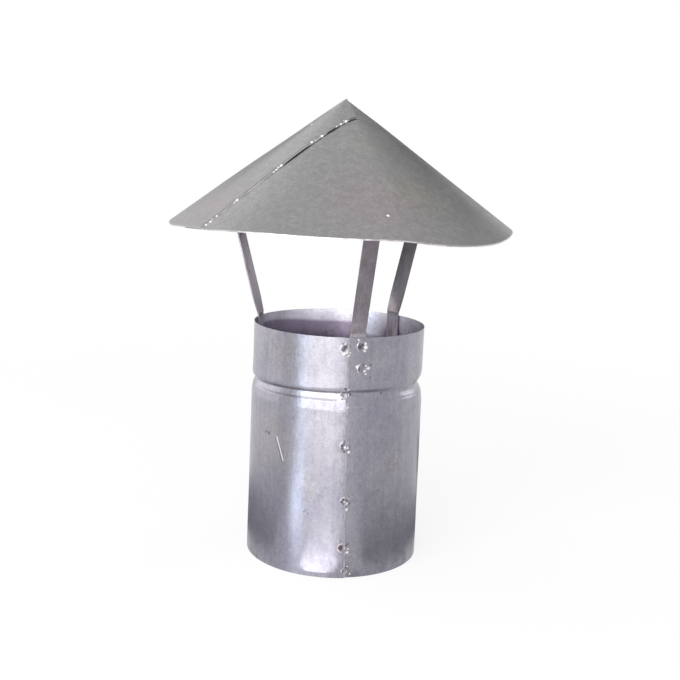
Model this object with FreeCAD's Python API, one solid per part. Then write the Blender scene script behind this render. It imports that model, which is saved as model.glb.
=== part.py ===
import FreeCAD, Part
import math
import os

# Rain cap for a round flue, in millimetres.
# The origin is the centre of the pipe's lower rim, with +Z up and the front towards -Y.
# An azimuth is an angle round the pipe's axis, in degrees, from the front towards +X.

# Stock
sheet = 0.6               # zinc-coated sheet of the pipe and the hat
strap_width = 10.0
strap_thickness = 1.2
lap_play = 0.05           # least room between two lapped layers, away from their welds
seat_room = 0.05          # room between a strap's edges and the sheet that it seats on

# Pipe, rolled from one sheet and lapped at the front
flue_diameter = 120.0     # outside of the flue that the pipe slips over
slip_room = 0.4           # room all round between flue and pipe
pipe_length = 166.0
pipe_edge_azimuth = 8.0   # free edge of the outer layer
pipe_lap = 12.0           # width of the lap, round the pipe
pipe_lift_arc = 72.0      # angle over which the sheet climbs onto its own other end

# Bead pressed into the pipe as a stop for the flue
collar_height = 39.7      # from the upper rim down to the middle of the bead
bead_depth = 3.2
bead_floor = 1.2          # width of the bead's bottom
bead_reach = 5.0          # from the middle of the bead to each of its shoulders
shoulder_depth = 0.7      # how far the shoulders are drawn in
draw_above = 6.0          # length over which the wall above the bead is drawn in
draw_below = 7.0          # the same, below the bead

# Hat, a cone rolled from one flat blank and lapped by a flap with parallel sides
hat_radius = 121.0
hat_rim_height = 235.0
hat_height = 86.0
flap_width = 21.5         # from the blank's radial line to the flap's free edge
flap_azimuth = -55.4      # radial line that the flap starts from
flap_end_run = 11.0       # the free edge stops this far before its point nearest to the tip
hat_lift_arc = 100.0      # angle over which the sheet climbs onto its own other end
flap_edge_steps = 14      # points of the curve that the flap is trimmed along
trim_overrun = 15.0       # that curve runs on this far past the rim

# Straps, bent from flat bar
strap_azimuths = {"strap_front": 12.6, "strap_right": 136.3, "strap_left": -107.3}
strap_lean_angle = 16.5   # lean of the leg from upright, in degrees
foot_gap = 3.7            # from the drawn-in wall up to the end of the foot
foot_rise = 2.5           # from the upper rim up to the lower bend
flange_length = 28.0      # along the hat, from the upper bend
bend_radius = 2.0         # inside both bends

# Spot welds
weld_radius = 2.75        # print of the electrode on the outer sheet
weld_dent = 0.2           # depth of that print
nugget_radius = 1.8       # fused metal between the layers
nugget_sides = 8          # it is out of sight, so its outline is kept plain
weld_inset = 3.2          # from a sheet's or foot's end to the middle of a weld
collar_weld_drop = 9.0    # from the upper rim down to the seam's top weld
foot_weld_drop = 7.0      # from the upper rim down to a foot's top weld
flange_weld_run = 20.0    # from the upper bend
pipe_weld_shares = (0.05, 0.19, 0.47, 0.80)        # of the seam below the bead, from the lower rim
hat_weld_shares = (0.16, 0.31, 0.55, 0.80, 0.93)   # of the flap's edge, from its point nearest to the tip

bore_radius = flue_diameter / 2 + slip_room
pipe_radius = bore_radius + sheet
bead_height = pipe_length - collar_height
plain_height = bead_height - bead_reach - draw_below
foot_depth = collar_height - bead_reach - draw_above - foot_gap
foot_weld_drops = (foot_weld_drop, foot_depth - weld_inset)
bead_steepness = math.atan2(bead_depth - shoulder_depth, bead_reach - bead_floor / 2)
slope = math.atan2(hat_height, hat_radius)
tip_height = hat_rim_height + hat_height
dent_ball = (weld_radius ** 2 + weld_dent ** 2) / (2 * weld_dent)
climb_start = flap_azimuth - hat_lift_arc
climb_share = 1 - math.cos(math.radians(hat_lift_arc))
hat_rise = (sheet + lap_play) / (math.sin(slope) * math.cos(slope) * climb_share)
far_out = 1.6 * hat_radius   # well outside the hat

ORIGIN = FreeCAD.Vector(0, 0, 0)
UP = FreeCAD.Vector(0, 0, 1)
PROFILE_AZIMUTH = 90.0    # profiles are drawn in the plane of X and Z


def outward(azimuth):
    """Level unit vector that points away from the pipe's axis."""
    angle = math.radians(azimuth)
    return FreeCAD.Vector(math.sin(angle), -math.cos(angle), 0)


def turned(shape, azimuth):
    """A shape drawn in the profile plane, turned round the axis to an azimuth."""
    return shape.rotated(ORIGIN, UP, azimuth - PROFILE_AZIMUTH)


def left_of(step):
    """Unit vector square to a step of a profile, to its left."""
    return FreeCAD.Vector(-step.z, 0, step.x).normalize()


def beside(points, distance):
    """A path of straight runs, moved to its left by a distance."""
    lefts = [left_of(end - start) for start, end in zip(points, points[1:])]
    moved = [points[0] + lefts[0] * distance]
    for corner, before, after in zip(points[1:], lefts, lefts[1:]):
        moved.append(corner + (before + after) * (distance / (1 + before.dot(after))))
    moved.append(points[-1] + lefts[-1] * distance)
    return moved


def rounded_path(points, radii):
    """Edges of a path of straight runs whose corners are rounded, each by its own radius."""
    edges = []
    start = points[0]
    for before, corner, after, radius in zip(points, points[1:], points[2:], radii):
        back = (before - corner).normalize()
        ahead = (after - corner).normalize()
        half_angle = back.getAngle(ahead) / 2
        reach = radius / math.tan(half_angle)
        middle = corner + (back + ahead).normalize() * (radius / math.sin(half_angle) - radius)
        edges.append(Part.LineSegment(start, corner + back * reach).toShape())
        edges.append(Part.Arc(corner + back * reach, middle, corner + ahead * reach).toShape())
        start = corner + ahead * reach
    edges.append(Part.LineSegment(start, points[-1]).toShape())
    return edges


def bent_section(points, radii, thickness):
    """Section of a bent sheet: one side follows the path and the other lies to its left."""
    other_points = beside(points, thickness)
    other_radii = []
    for before, corner, after, radius in zip(points, points[1:], points[2:], radii):
        turns_left = left_of(corner - before).dot(after - corner) > 0
        other_radii.append(radius - thickness if turns_left else radius + thickness)
    edges = rounded_path(points, radii)
    edges.append(Part.LineSegment(points[-1], other_points[-1]).toShape())
    edges.extend(rounded_path(other_points[::-1], other_radii[::-1]))
    edges.append(Part.LineSegment(other_points[0], points[0]).toShape())
    return Part.Face(Part.Wire(edges))


def dent(place, direction):
    """Ball that presses an electrode's print into a surface at a place, from outside."""
    return Part.makeSphere(dent_ball, place + direction * (dent_ball - weld_dent))


def nugget(place, direction, start, end):
    """Disc of fused metal that runs inwards from a place, between two depths."""
    to_corner = direction.cross(UP).normalize() * nugget_radius
    corners = []
    for corner in range(nugget_sides):
        turn = FreeCAD.Rotation(direction, 360 * corner / nugget_sides)
        corners.append(place - direction * start + turn.multVec(to_corner))
    outline = Part.makePolygon(corners + corners[:1])
    return Part.Face(outline).extrude(direction * (start - end))


def pipe_section():
    """Upright section of the pipe's wall, from the lower rim to the upper one."""
    heights = (
        (0, 0),
        (0, plain_height),
        (shoulder_depth, bead_height - bead_reach),
        (bead_depth, bead_height - bead_floor / 2),
        (bead_depth, bead_height + bead_floor / 2),
        (shoulder_depth, bead_height + bead_reach),
        (0, bead_height + bead_reach + draw_above),
        (0, pipe_length),
    )
    outer = [FreeCAD.Vector(pipe_radius - depth, 0, height) for depth, height in heights]
    inner = beside(outer, sheet)
    return Part.Face(Part.makePolygon(outer + inner[::-1] + outer[:1]))


def make_pipe():
    """The pipe: a round wall whose one end climbs in a wider arc and lies on the other."""
    inner_end = pipe_edge_azimuth - math.degrees(pipe_lap / pipe_radius)
    lift_start = inner_end - pipe_lift_arc
    lift_turn = pipe_edge_azimuth - lift_start
    lift = (sheet + lap_play) / math.cos(bead_steepness)
    widening = lift / (1 - math.cos(math.radians(pipe_lift_arc)))
    lift_axis = outward(lift_start) * -widening
    round_wall = turned(pipe_section(), inner_end).revolve(ORIGIN, UP, 360 - pipe_lift_arc)
    climbing_wall = turned(pipe_section(), lift_start).revolve(lift_axis, UP, lift_turn)
    pipe = round_wall.fuse(climbing_wall)

    edge_lift = widening * (1 - math.cos(math.radians(lift_turn)))
    seam_direction = outward(pipe_edge_azimuth - math.degrees(weld_inset / pipe_radius))
    seam_place = lift_axis + seam_direction * (pipe_radius + widening)
    heights = [share * plain_height for share in pipe_weld_shares]
    heights.append(pipe_length - collar_weld_drop)
    dents = []
    for height in heights:
        place = seam_place + UP * height
        pipe = pipe.fuse(nugget(place, seam_direction, sheet / 2, edge_lift + sheet / 2))
        dents.append(dent(place, seam_direction))
    for azimuth in strap_azimuths.values():
        for drop in foot_weld_drops:
            place = outward(azimuth) * pipe_radius + UP * (pipe_length - drop)
            dents.append(dent(place, outward(azimuth)))
    return pipe.cut(dents)


def hat_section(rise):
    """Section of the hat's sheet from its rim to a tip that is moved up along the slope by a rise."""
    along = FreeCAD.Vector(-math.cos(slope), 0, math.sin(slope))
    rim = FreeCAD.Vector(hat_radius, 0, hat_rim_height)
    tip = FreeCAD.Vector(0, 0, tip_height) + along * rise
    under_rim = rim - left_of(along * -1) * sheet
    under_tip = tip - UP * (sheet / math.cos(slope))
    return Part.Face(Part.makePolygon([tip, rim, under_rim, under_tip, tip]))


def hat_normal(azimuth):
    """Unit vector square to the hat's outer surface."""
    return outward(azimuth) * math.sin(slope) + UP * math.cos(slope)


def climb_lift(azimuth):
    """How far the climbing part of the hat stands out from the plain cone at an azimuth."""
    turn = math.radians(azimuth - climb_start)
    return hat_rise * math.sin(slope) * math.cos(slope) * (1 - math.cos(turn))


def hat_lift(azimuth):
    """How far the sheet that straps are welded to stands out from the plain cone at an azimuth."""
    return climb_lift(azimuth) if climb_start < azimuth < flap_azimuth else 0.0


def on_flap(run, inset):
    """Azimuth and slant distance from the tip of a point beside the flap's straight free edge."""
    across = flap_width - inset
    flat_angle = math.degrees(math.atan2(across, run))
    return flap_azimuth + flat_angle / math.cos(slope), math.hypot(across, run)


def on_cone(tip, azimuth, slant):
    """Point of a cone with the hat's slope, below its tip."""
    return tip + outward(azimuth) * (slant * math.cos(slope)) - UP * (slant * math.sin(slope))


def flap_trimmer(tip):
    """Upright block that leaves the flap its free edge, which was straight in the flat blank."""
    stride = (hat_radius / math.cos(slope) + trim_overrun - flap_end_run) / flap_edge_steps
    edge_points = []
    for step in range(-1, flap_edge_steps + 1):
        azimuth, slant = on_flap(flap_end_run + step * stride, 0)
        edge_points.append(outward(azimuth) * (slant * math.cos(slope)))
    curve = Part.BSplineCurve()
    curve.interpolate(edge_points)
    start_azimuth = on_flap(flap_end_run - stride, 0)[0]
    corners = [
        edge_points[-1],
        outward(flap_azimuth) * far_out,
        outward((flap_azimuth + start_azimuth) / 2) * far_out,
        outward(start_azimuth) * far_out,
        edge_points[0],
    ]
    outline = Part.Wire([curve.toShape()] + Part.makePolygon(corners).Edges)
    block = Part.Face(outline).extrude(UP * (2 * hat_height))
    return block.translated(FreeCAD.Vector(tip.x, tip.y, hat_rim_height - hat_height / 2))


def make_hat():
    """The hat: a cone whose one end climbs, as the same cone moved up its slope, onto the other."""
    tip_shift = outward(climb_start) * (-hat_rise * math.cos(slope))
    climb_tip = tip_shift + UP * (tip_height + hat_rise * math.sin(slope))
    end_azimuth = on_flap(flap_end_run, 0)[0]
    plain_cone = turned(hat_section(0), flap_azimuth).revolve(ORIGIN, UP, 360 - hat_lift_arc)
    climbing = turned(hat_section(hat_rise), climb_start).revolve(tip_shift, UP, end_azimuth - climb_start)
    climbing = climbing.cut(flap_trimmer(climb_tip))
    hat = plain_cone.fuse(climbing)

    dents = []
    edge_length = math.sqrt((hat_radius / math.cos(slope)) ** 2 - flap_width ** 2)
    for share in hat_weld_shares:
        azimuth, slant = on_flap(share * edge_length, weld_inset)
        place = on_cone(climb_tip, azimuth, slant)
        direction = hat_normal(azimuth)
        hat = hat.fuse(nugget(place, direction, sheet / 2, climb_lift(azimuth) + sheet / 2))
        dents.append(dent(place, direction))
    for azimuth in strap_azimuths.values():
        upper_bend = strap_path(azimuth)[2]
        slant = upper_bend.x / math.cos(slope) + flange_weld_run
        place = on_cone(UP * tip_height, azimuth, slant) + hat_normal(azimuth) * hat_lift(azimuth)
        dents.append(dent(place, hat_normal(azimuth)))
    return hat.cut(dents)


def chord_seat(radius, half_width):
    """Distance from the axis of a flat face whose two edges lie just inside a round wall."""
    return math.sqrt((radius - seat_room) ** 2 - half_width ** 2)


def strap_sag():
    """How far the middle of a flat strap stays off the hat's curved underside."""
    return strap_width ** 2 / (8 * chord_seat(bore_radius, strap_width / 2)) * math.sin(slope)


def strap_path(azimuth):
    """Profile points of a strap's outer side: foot, lower bend, upper bend and flange end."""
    foot_face = chord_seat(bore_radius, strap_width / 2)
    lean = math.radians(strap_lean_angle)
    foot_end = FreeCAD.Vector(foot_face, 0, pipe_length - foot_depth)
    lower_bend = FreeCAD.Vector(foot_face, 0, pipe_length + foot_rise)
    under_hat = sheet + seat_room + strap_sag() + strap_thickness - hat_lift(azimuth)
    line_height = tip_height - under_hat / math.cos(slope)
    room = line_height - lower_bend.z - foot_face * math.tan(slope)
    leg = room / (math.cos(lean) + math.sin(lean) * math.tan(slope))
    upper_bend = lower_bend + FreeCAD.Vector(math.sin(lean), 0, math.cos(lean)) * leg
    flange_end = upper_bend + FreeCAD.Vector(math.cos(slope), 0, -math.sin(slope)) * flange_length
    return [foot_end, lower_bend, upper_bend, flange_end]


def make_strap(azimuth):
    """A strap: foot flat inside the pipe, leg leaning out, flange along the underside of the hat."""
    path = strap_path(azimuth)
    section = bent_section(path, (bend_radius, bend_radius), strap_thickness)
    across = FreeCAD.Vector(0, strap_width, 0)
    strap = section.translated(across * -0.5).extrude(across)

    foot_face = path[0].x
    pad_end = chord_seat(bore_radius, nugget_radius)
    pad_length = pad_end - foot_face + strap_thickness / 2
    for drop in foot_weld_drops:
        place = FreeCAD.Vector(pad_end, 0, pipe_length - drop)
        strap = strap.fuse(nugget(place, FreeCAD.Vector(1, 0, 0), 0, pad_length))
    hat_side = FreeCAD.Vector(math.sin(slope), 0, math.cos(slope))
    down_slope = FreeCAD.Vector(math.cos(slope), 0, -math.sin(slope))
    place = path[2] + down_slope * flange_weld_run + hat_side * (strap_thickness + strap_sag())
    strap = strap.fuse(nugget(place, hat_side, 0, strap_sag() + strap_thickness / 2))
    return turned(strap, azimuth)


def save(name, shape):
    """Write one sub-part as a STEP file."""
    shape = shape.removeSplitter()
    shape.exportStep(os.path.join("parts", name + ".step"))
    print(name, "solids", len(shape.Solids), "valid", shape.isValid(), "volume", round(shape.Volume, 1))


os.makedirs("parts", exist_ok=True)
save("pipe", make_pipe())
save("hat", make_hat())
for strap_name, strap_azimuth in strap_azimuths.items():
    save(strap_name, make_strap(strap_azimuth))
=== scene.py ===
import math

import bpy
import numpy as np
from mathutils import Matrix, Vector


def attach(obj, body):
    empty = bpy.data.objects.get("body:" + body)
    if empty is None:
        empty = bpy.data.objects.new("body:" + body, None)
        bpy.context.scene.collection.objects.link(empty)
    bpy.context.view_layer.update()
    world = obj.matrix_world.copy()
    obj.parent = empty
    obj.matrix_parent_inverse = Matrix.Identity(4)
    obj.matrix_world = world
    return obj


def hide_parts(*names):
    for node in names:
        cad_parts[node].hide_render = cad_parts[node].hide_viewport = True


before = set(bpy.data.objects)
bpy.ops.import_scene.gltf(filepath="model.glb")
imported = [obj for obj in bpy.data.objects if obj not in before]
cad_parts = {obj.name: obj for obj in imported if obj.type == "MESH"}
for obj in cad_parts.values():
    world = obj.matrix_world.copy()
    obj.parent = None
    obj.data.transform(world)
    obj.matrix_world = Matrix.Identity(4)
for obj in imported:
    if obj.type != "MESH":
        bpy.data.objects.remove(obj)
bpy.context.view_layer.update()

# Construction, in millimetres; azimuths are degrees from the front (-Y) towards +X
MM = 0.001
SHEET = 0.6
PIPE_RADIUS = 61.0
PIPE_LENGTH = 166.0
SEAM_AZIMUTH = 8.0
LAP_WIDTH = 12.0
INNER_END = SEAM_AZIMUTH - math.degrees(LAP_WIDTH / PIPE_RADIUS)
PIPE_TURN = 360 + (SEAM_AZIMUTH - INNER_END)
PIPE_LIFT = 0.745
PIPE_LIFT_ARC = 72.0
BEAD_HEIGHT = 126.3
BEAD_RISE = 1.7
COLLAR_SLIMMER = 0.6
HAT_RADIUS = 121.0
HAT_RIM = 235.0
HAT_HEIGHT = 86.0
SLOPE = math.atan2(HAT_HEIGHT, HAT_RADIUS)
SLANT = math.hypot(HAT_HEIGHT, HAT_RADIUS)
FLAP_WIDTH = 21.5
FLAP_AZIMUTH = -56.1
FLAP_END_RUN = 11.0
HAT_LIFT_ARC = 100.0
# Air in the hat's lap, between a flange and the hat, and between a foot and the wall
LAP_GAP = 0.09
FLANGE_GAP = 0.05
FOOT_GAP = 0.06
# The hat sits a little to the left, its tip more so
HAT_SHIFT = -0.5
TIP_SHIFT = -0.9
STRAP_WIDTH = 10.8
STRAP_THICKNESS = 1.2
STRAP_LOW = 141.0
FOOT_RISE = 2.5
FLANGE_LENGTH = 28.0
FOOT_BEND = 3.0
TOP_BEND = 3.2
STRAPS = {
    # azimuth, lean and twist of the leg in degrees, lean to the side as a slope
    "strap_front": (12.1, 17.0, 5.5, 0.026),
    "strap_right": (137.2, 17.4, 17.0, -0.013),
    "strap_left": (-103.5, 16.4, -10.0, -0.03),
}
STRAP_PAINTED_LIGHT = {
    # painted light and shade: brightness of the foot, the bend and the top
    "strap_front": (1.4, 1.0, 0.72),
    "strap_right": (1.25, 0.35, 0.72),
    "strap_left": (1.5, 0.67, 2.0),
}

# Section of the bead: height above its middle, and its depth with a round and with a flattened lower flank
BEAD_SECTION = (
    (-200, 0, 0), (-11.2, 0, 0), (-4.7, 0.85, 0.85), (-4.0, 1.25, 1.25), (-1.8, 2.5, 1.8),
    (-0.6, 3.15, 2.1), (0.7, 3.15, 2.4), (4.4, 0.5, 0.4), (8.0, 0, 0), (200, 0, 0),
)
# Droop of the hat's rim, where the sheet was pulled down by hand: azimuth and change of slope in radians
RIM_DROOP = (
    (-180, 0), (-150, 0.003), (-112, 0.006), (-92, 0.009), (-82, 0.015), (-72, 0.019), (-62, 0.010),
    (-47, 0.002), (-33, -0.005), (-22, -0.007), (-9, -0.004), (5, -0.003), (15, -0.003), (19, 0.002),
    (24, 0.012), (29, 0.021), (35, 0.029), (43, 0.034), (51, 0.035), (61, 0.028), (67, 0.023),
    (74, 0.017), (85, 0.008), (112, 0.001), (150, 0), (180, 0),
)
# How much shorter the hat's sheet was cut: azimuth and length
RIM_TRIM = ((-180, 0), (58, 0), (68, 1.6), (78, 3.0), (88, 3.2), (98, 2.2), (112, 0), (180, 0))

# Spot welds on the pipe: azimuth, height and size of the print against the usual one
SEAM_WELDS = (
    (4.5, 158.0, 1.15), (5.5, 127.5, 0.95), (6.5, 92.5, 1.1),
    (8.0, 54.0, 1.05), (7.5, 21.5, 1.05), (9.5, 4.5, 0.7),
)
FRONT_FOOT_WELDS = ((15.0, 160.0, 1.1), (16.0, 145.0, 1.2))
BACK_FOOT_WELDS = ((137.0, 159.0, 1.0), (137.5, 144.0, 1.0), (-103.5, 159.0, 1.0), (-103.5, 144.0, 1.0))
PIPE_WELDS = SEAM_WELDS + FRONT_FOOT_WELDS + BACK_FOOT_WELDS
# Spot welds of the straps on the hat: azimuth and distance from the tip
HAT_WELDS = ((15.5, 125.5), (137.0, 125.5), (-103.5, 125.5))
# Weld zones along the hat's flap: distance along its edge and half length
FLAP_WELDS = ((22.0, 4.0), (46.0, 6.0), (81.0, 5.5), (117.0, 4.0), (139.0, 6.5))
# Where the flap's edge stands off the hat between its welds: middle, half length and lift
FLAP_LIPS = ((13.5, 5.0, 0.1), (33.0, 5.5, 0.12), (64.5, 13.0, 0.2))

# Burnt specks of the welds on the pipe: azimuth, height and size
BURNS = (
    # lap, from the top weld down
    (3.0, 161.5, 0.8), (4.5, 159.5, 1.1), (6.5, 157.5, 0.8), (3.5, 158.0, 0.7),
    (5.5, 131.5, 0.9), (3.0, 127.0, 0.7), (9.0, 127.5, 0.7), (3.5, 124.5, 0.6), (6.5, 123.0, 0.6),
    (6.0, 96.0, 0.8), (4.5, 93.0, 0.8), (4.5, 91.0, 0.6), (6.0, 89.5, 0.8), (7.5, 90.0, 0.6),
    (9.0, 92.5, 0.5),
    (6.5, 56.0, 0.8), (5.5, 54.0, 0.7), (9.5, 54.5, 0.8), (10.5, 53.0, 0.5),
    (6.5, 21.5, 1.4), (5.5, 22.5, 0.9), (9.5, 23.0, 0.8), (11.0, 24.0, 0.7), (8.0, 19.0, 0.6),
    (8.5, 5.5, 0.9), (10.0, 7.0, 0.6),
    # front foot
    (13.5, 159.5, 1.4), (15.0, 161.0, 0.9), (13.0, 162.0, 0.7),
    (13.5, 145.5, 0.7), (13.5, 144.0, 0.6), (21.0, 147.5, 0.7), (16.0, 148.0, 0.6),
    # feet at the back, and one speck by itself in the bead
    (135.0, 158.0, 0.9), (137.5, 143.5, 0.8), (-104.5, 160.0, 0.8), (-103.0, 143.0, 1.0),
    (30.0, 127.5, 0.6),
)
# Bright specks of the same welds
FLECKS = (
    (3.5, 155.0, 0.8), (6.5, 154.0, 0.8), (2.0, 156.5, 0.6), (7.5, 156.0, 0.5),
    (7.5, 131.0, 0.4), (7.0, 119.0, 0.7),
    (6.5, 92.0, 0.7), (9.0, 88.5, 0.8),
    (7.5, 54.0, 0.6), (9.0, 48.5, 0.9), (10.5, 56.0, 0.4),
    (10.5, 18.0, 0.7), (8.5, 21.5, 0.4), (11.0, 20.5, 0.5),
    (11.0, 8.0, 0.4), (13.0, 2.5, 0.5),
    (17.0, 162.0, 0.8), (17.5, 159.5, 0.9), (16.5, 157.0, 0.7), (12.5, 164.5, 0.6),
    (12.0, 146.5, 0.8), (17.0, 143.5, 0.6), (19.5, 145.5, 0.8), (18.0, 147.0, 0.5), (18.0, 141.5, 0.6),
    (138.0, 160.5, 0.8), (134.5, 143.0, 0.7), (-102.0, 158.0, 0.8), (-105.0, 145.5, 0.7),
)
# Burnt haze round the welds: azimuth, height, radius, and how brown it is
HAZE = (
    (4.5, 158.0, 3.9, 0.6), (5.5, 128.5, 3.5, 0.5), (6.5, 92.0, 4.5, 0.5),
    (8.0, 53.5, 4.2, 0.4), (7.0, 21.5, 4.9, 1.0), (10.0, 4.5, 3.5, 0.6),
    (14.5, 160.0, 3.5, 0.4), (16.0, 145.0, 3.9, 0.3),
    (137.0, 159.0, 3.8, 0.4), (137.5, 144.0, 3.8, 0.4),
    (-103.5, 159.0, 3.8, 0.4), (-103.5, 144.0, 3.8, 0.4),
)
# Small dark marks away from the welds: azimuth, height and size
MARKS = (
    (-50.4, 94.4, 1.0), (-47.6, 94.1, 1.3),
    (-17.6, 45.4, 0.8), (-16.5, 46.6, 0.6), (-15.2, 44.3, 0.7), (-18.2, 43.5, 0.5),
)
# A bright scratch and a dull one beside it: azimuth and height of both ends, width, tone and strength
SCRATCHES = (
    ((-40.0, 93.6), (-33.9, 77.7), 0.5, (0.95, 0.95, 0.97), 0.95),
    ((-38.3, 86.8), (-35.0, 76.6), 0.45, (0.12, 0.11, 0.12), 0.7),
)
# Bright specks along the hat's flap: distance along its edge, distance from it, and size
SPARKS = (
    (20.5, 0.1, 0.9), (25.0, 0.2, 0.7), (29.0, 0.3, 0.5), (42.0, 0.3, 0.9), (50.5, 1.3, 0.9),
    (78.0, 0.9, 0.9), (82.5, 0.7, 0.7), (85.0, 0.4, 0.6), (116.5, 0.9, 0.9), (119.0, 0.4, 0.6),
    (134.0, 0.5, 0.7), (139.5, 0.3, 0.9), (143.0, 0.4, 0.8),
)
PRINT_RADIUS = 3.1
HAT_PRINT_RADIUS = 2.9
# On the inside of the pipe the flat coordinates are moved up by this much, off the marks of the outside
INSIDE_SHIFT = 1000.0
# Distances from an edge matter to the materials only up to here
MASK_REACH = 40.0


# Shared shapes
def direction(azimuth):
    """Level unit vectors that point away from the axis, as arrays."""
    angle = np.radians(azimuth)
    return np.sin(angle), -np.cos(angle)


def wrapped(degrees):
    """The same azimuth, between -180 and 180 degrees."""
    return (degrees + 180) % 360 - 180


def bell(x, middle, half):
    """Smooth bump of height 1 that ends a half length to each side of its middle."""
    t = np.clip(np.abs((x - middle) / half), 0, 1)
    return (1 - t * t) ** 2


def ease(x, low, high):
    """Smooth step from 0 to 1."""
    t = np.clip((x - low) / (high - low), 0, 1)
    return t * t * (3 - 2 * t)


def waves(u, v, seed, count=7, reach=3):
    """Slow irregular waviness of about unit height over two angles in radians, periodic in both."""
    random = np.random.RandomState(seed)
    total = np.zeros(np.broadcast(u, v).shape)
    for _ in range(count):
        i, j = random.randint(0, reach + 1), random.randint(0, reach + 1)
        total = total + random.uniform(0.4, 1.0) * np.sin(i * u + j * v + random.uniform(0, 2 * math.pi))
    return total / math.sqrt(count)


def around(azimuth, table):
    """Value at an azimuth from a table of azimuths and values, eased a little between its entries."""
    azimuths, values = zip(*table)
    offsets = (-3, -1.5, 0, 1.5, 3)
    return sum(np.interp(wrapped(azimuth + offset), azimuths, values) for offset in offsets) / len(offsets)


def merged(*ranges):
    """One rising list of positions from several, without near doubles."""
    values = np.sort(np.concatenate([np.asarray(r, float) for r in ranges]))
    kept = [values[0]]
    for value in values[1:]:
        if value - kept[-1] > 0.12:
            kept.append(value)
    return np.array(kept)


def print_relief(distance, depth, reach, burr):
    """Relief of a spot weld's print: a shallow dish with a low ring pushed up round it."""
    return burr * bell(distance, 3.0, 1.0) - depth * bell(distance, 0, reach)


def linked(name, data):
    """A new object in the scene."""
    obj = bpy.data.objects.new(name, data)
    bpy.context.scene.collection.objects.link(obj)
    return obj


def mesh_object(name, points, faces, sharp):
    """Smooth object from points in millimetres, with hard edges at angles above sharp, in degrees."""
    mesh = bpy.data.meshes.new(name)
    mesh.from_pydata((points * MM).tolist(), [], faces)
    mesh.validate()
    mesh.update()
    mesh.polygons.foreach_set("use_smooth", [True] * len(mesh.polygons))
    mesh.set_sharp_from_angle(angle=math.radians(sharp))
    return linked(name, mesh)


def sheet_object(name, outer, inner, masks):
    """Closed object of a sheet from the grids of points on its two sides, with float masks on its points."""
    rows, columns = outer.shape[:2]
    face = np.arange(rows * columns).reshape(rows, columns)
    back = face + rows * columns

    def strip(a, b):
        return np.stack([a[:-1], a[1:], b[1:], b[:-1]], axis=-1).reshape(-1, 4)

    quads = np.concatenate([
        np.stack([face[:-1, :-1], face[:-1, 1:], face[1:, 1:], face[1:, :-1]], axis=-1).reshape(-1, 4),
        np.stack([back[:-1, :-1], back[1:, :-1], back[1:, 1:], back[:-1, 1:]], axis=-1).reshape(-1, 4),
        strip(back[0], face[0]),
        strip(face[-1], back[-1]),
        strip(face[:, 0], back[:, 0]),
        strip(back[:, -1], face[:, -1]),
    ])
    points = np.concatenate([outer.reshape(-1, 3), inner.reshape(-1, 3)])
    obj = mesh_object(name, points, quads.tolist(), 38)
    masks = {mask: np.tile(values.ravel(), 2) for mask, values in masks.items()}
    masks["inside"] = np.repeat([0.0, 1.0], rows * columns)
    for mask, values in masks.items():
        layer = obj.data.attributes.new(mask, "FLOAT", "POINT")
        layer.data.foreach_set("value", values.astype(np.float32))
    return obj


# Pipe
def bead_place(z, azimuth):
    """Height above the bead's middle against its local width; the bead runs a little high at the front."""
    right, front = np.sin(np.radians(azimuth)), np.clip(np.cos(np.radians(azimuth)), 0, 1)
    middle = BEAD_HEIGHT + BEAD_RISE * front ** 2
    return (z - middle) / np.where(z > middle, 1 + 0.45 * right - 0.5 * front ** 2, 1 + 0.12 * right)


def bead_depth(z, azimuth):
    """How far the wall is pressed in by the bead, deeper at the right and creased below at the front."""
    right = np.sin(np.radians(azimuth))
    above = bead_place(z, azimuth)
    heights, round_below, flat_below = np.array(BEAD_SECTION).T
    flattened = bell(wrapped(azimuth), -15, 75)
    offsets = np.linspace(-1.1, 1.1, 9)
    weights = 1 - np.abs(offsets) / 1.4
    total = 0
    for offset, weight in zip(offsets, weights):
        rolled = np.interp(above + offset, heights, round_below)
        creased = np.interp(above + offset, heights, flat_below)
        total = total + weight * (rolled + (creased - rolled) * flattened)
    shallow = 1 - 0.42 * bell(wrapped(azimuth), 36, 42)
    return total / weights.sum() * (1 + 0.14 * right) * shallow + 0.2 * bell(above, -4.3, 1.0)


def bead_painted_shade(z, azimuth):
    """Painted shade in the crease below the bead and on its shoulders, most at the front left."""
    above = bead_place(z, azimuth)
    darkening = 1.1 * bell(above, -4.25, 1.1) + 0.5 * bell(above, 1.0, 1.6) + 0.16 * bell(above, -5.5, 7.0)
    return np.clip(darkening, 0, 1) * (0.1 + 0.9 * bell(azimuth % 360, 340, 60))


def unevenness(z, azimuth):
    """Irregularities of the pipe's radius: a slight flare below, an uneven round, a slimmer collar."""
    angle = np.radians(azimuth)
    flare = 0.3 * ease(-z, -115, -55) + 0.45 * ease(-z, -60, 0)
    oval = 0.25 * np.sin(2 * angle + 0.6)
    ripple = 0.10 * waves(angle, z * 2 * math.pi / 260, 3) * bell(z, 83, 120)
    return flare + oval - COLLAR_SLIMMER * ease(z, 122, 142) + ripple


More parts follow.
